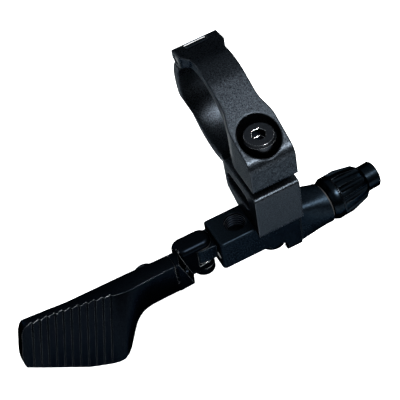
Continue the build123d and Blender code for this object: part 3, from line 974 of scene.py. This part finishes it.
@dataclass
class Studio:
    """Floor, light and camera.

    Attributes:
        right: The camera's right, in the object's frame.
        up: The camera's up.
        distance_mm: How far the camera stands from the bore's centre, along its view.
        shift_mm: How far the bore's centre lies right of and above the view's centre.
        focal_px: Focal length in pixels of the photograph's frame.
        frame_px: Width of that frame.
        sensor_mm: Width of the camera's sensor.
        clip_m: How near the camera sees.
        floor_mm: Height of the floor.
        floor_half_m: Half its width.
        floor_glow: How much paler than its lit paper the floor shows.
        glow_mm: Where that paleness starts and ends to fall off in reflections, from the middle.
        glow_far: Share of it left past that.
        paper: Colour of the floor.
        paper_rough: Its roughness.
        sky: Colour of the surroundings below and overhead.
        sky_ramp: Heights, as the sine of the angle, between which the one turns to the other.
        white: What the camera sees of floor and sky.
        lamps: The lamps.
    """

    right: tuple[float, float, float] = (0.88114, -0.45797, -0.1177)
    up: tuple[float, float, float] = (0.42623, 0.66147, 0.61709)
    distance_mm: float = 400.0
    shift_mm: tuple[float, float] = (5.179, 21.078)
    focal_px: float = 1817.6
    frame_px: float = 400.0
    sensor_mm: float = 36.0
    clip_m: float = 0.01
    floor_mm: float = -75.0
    floor_half_m: float = 6.0
    floor_glow: float = 0.8
    glow_mm: tuple[float, float] = (160.0, 420.0)
    glow_far: float = 0.15
    paper: str = "#e8e8e8"
    paper_rough: float = 0.9
    sky: tuple[str, str] = ("#50555a", "#d4dae0")
    sky_ramp: tuple[float, float] = (0.25, 0.7)
    white: str = "#ffffff"
    lamps: tuple[Lamp, ...] = (
        Lamp("key", (0.125, -0.29, 0.51), 0.16, 8.0),
        Lamp("back", (-0.25, 0.55, 0.35), 0.12, 0.8),
        Lamp("side", (0.6, 0.1, 0.25), 0.2, 0.8),
    )

    def build(self) -> None:
        """Builds the whole studio."""
        self._camera()
        self._floor()
        self._world()
        for lamp in self.lamps:
            lamp.build()
        bpy.context.scene.view_settings.view_transform = "Standard"

    def _camera(self) -> None:
        """Sets the camera where the photograph was taken from."""
        right, up = Vector(self.right), Vector(self.up)
        back = right.cross(up).normalized()
        up = back.cross(right.normalized())
        eye = back * self.distance_mm - right * self.shift_mm[0] - up * self.shift_mm[1]
        data = bpy.data.cameras.new("camera")
        data.sensor_width = self.sensor_mm
        data.lens = self.sensor_mm * self.focal_px / self.frame_px
        data.clip_start = self.clip_m
        camera = bpy.data.objects.new("camera", data)
        turn = Matrix((right.normalized(), up, back)).transposed().to_4x4()
        camera.matrix_world = Matrix.Translation(eye * MM) @ turn
        bpy.context.scene.collection.objects.link(camera)
        bpy.context.scene.camera = camera

    def _floor(self) -> None:
        """Lays a wide floor of pale paper that keeps the object's shadow."""
        shape = bmesh.new()
        bmesh.ops.create_grid(shape, x_segments=1, y_segments=1, size=self.floor_half_m)
        bmesh.ops.translate(shape, verts=shape.verts, vec=(0, 0, self.floor_mm * MM))
        mesh = bpy.data.meshes.new("floor")
        shape.to_mesh(mesh)
        shape.free()
        floor = bpy.data.objects.new("floor", mesh)
        bpy.context.scene.collection.objects.link(floor)
        mesh.materials.append(self._paper())

    def _paper(self) -> bpy.types.Material:
        """Makes the floor's paper, matt and white to the camera, and less bright in reflections far out.

        Returns:
            The material.
        """
        paper = bpy.data.materials.new("white_paper")
        paper.use_nodes = True
        tree = paper.node_tree
        tree.nodes.clear()
        ray = add_node(tree, "ShaderNodeLightPath").outputs
        seen = add_node(tree, "ShaderNodeMath", {
            0: ray["Is Camera Ray"], 1: ray["Is Glossy Ray"],
        }, operation="MAXIMUM").outputs["Value"]
        seen = add_node(tree, "ShaderNodeMath", {
            0: seen, 1: ray["Is Transmission Ray"],
        }, operation="MAXIMUM").outputs["Value"]
        place = add_node(tree, "ShaderNodeTexCoord").outputs["Object"]
        reach = add_node(tree, "ShaderNodeVectorMath", {0: place}, operation="LENGTH").outputs["Value"]
        near_mm, far_mm = self.glow_mm
        fall = add_node(tree, "ShaderNodeMapRange", {
            "Value": reach, "From Min": near_mm * MM, "From Max": far_mm * MM, "To Min": 1.0,
            "To Max": self.glow_far,
        }, interpolation_type="SMOOTHSTEP").outputs["Result"]
        fall = add_node(tree, "ShaderNodeMath", {
            0: ray["Is Camera Ray"], 1: fall,
        }, operation="MAXIMUM").outputs["Value"]
        glow = add_node(tree, "ShaderNodeMath", {0: seen, 1: fall}, operation="MULTIPLY").outputs["Value"]
        lift = add_node(tree, "ShaderNodeMath", {
            0: glow, 1: self.floor_glow,
        }, operation="MULTIPLY").outputs["Value"]
        shader = add_node(tree, "ShaderNodeBsdfPrincipled", {
            "Base Color": linear(self.paper), "Roughness": self.paper_rough, "Specular IOR Level": 0.0,
            "Emission Color": linear(self.white), "Emission Strength": lift,
        })
        add_node(tree, "ShaderNodeOutputMaterial", {"Surface": shader.outputs["BSDF"]})
        return paper

    def _world(self) -> None:
        """Surrounds the studio with light that is dim below and pale overhead, and white to the camera."""
        world = bpy.data.worlds.new("studio")
        world.use_nodes = True
        tree = world.node_tree
        tree.nodes.clear()
        way = add_node(tree, "ShaderNodeTexCoord").outputs["Generated"]
        height = add_node(tree, "ShaderNodeSeparateXYZ", {"Vector": way}).outputs["Z"]
        ramp = add_node(tree, "ShaderNodeValToRGB", {"Fac": height})
        for stop, position, shade in zip(ramp.color_ramp.elements, self.sky_ramp, self.sky):
            stop.position = position
            stop.color = linear(shade)
        ray = add_node(tree, "ShaderNodeLightPath").outputs["Is Camera Ray"]
        seen = add_node(tree, "ShaderNodeMix", {
            "Factor": ray, MIX_FIRST: ramp.outputs["Color"], MIX_SECOND: linear(self.white),
        }, data_type="RGBA").outputs[MIX_RESULT]
        sky = add_node(tree, "ShaderNodeBackground", {"Color": seen, "Strength": 1.0})
        add_node(tree, "ShaderNodeOutputWorld", {"Surface": sky.outputs["Background"]})
        bpy.context.scene.world = world


def main() -> None:
    """Loads the frame, dresses every sub-assembly and lights the whole."""
    logging.basicConfig(level=logging.INFO, format="%(message)s")
    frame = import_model()
    for assembly in (Clamp(), LeverBody(), Blade(), Adjuster()):
        LOG.info("building %s", type(assembly).__name__)
        assembly.build(frame)
    Studio().build()


if __name__ == "__main__":
    main()
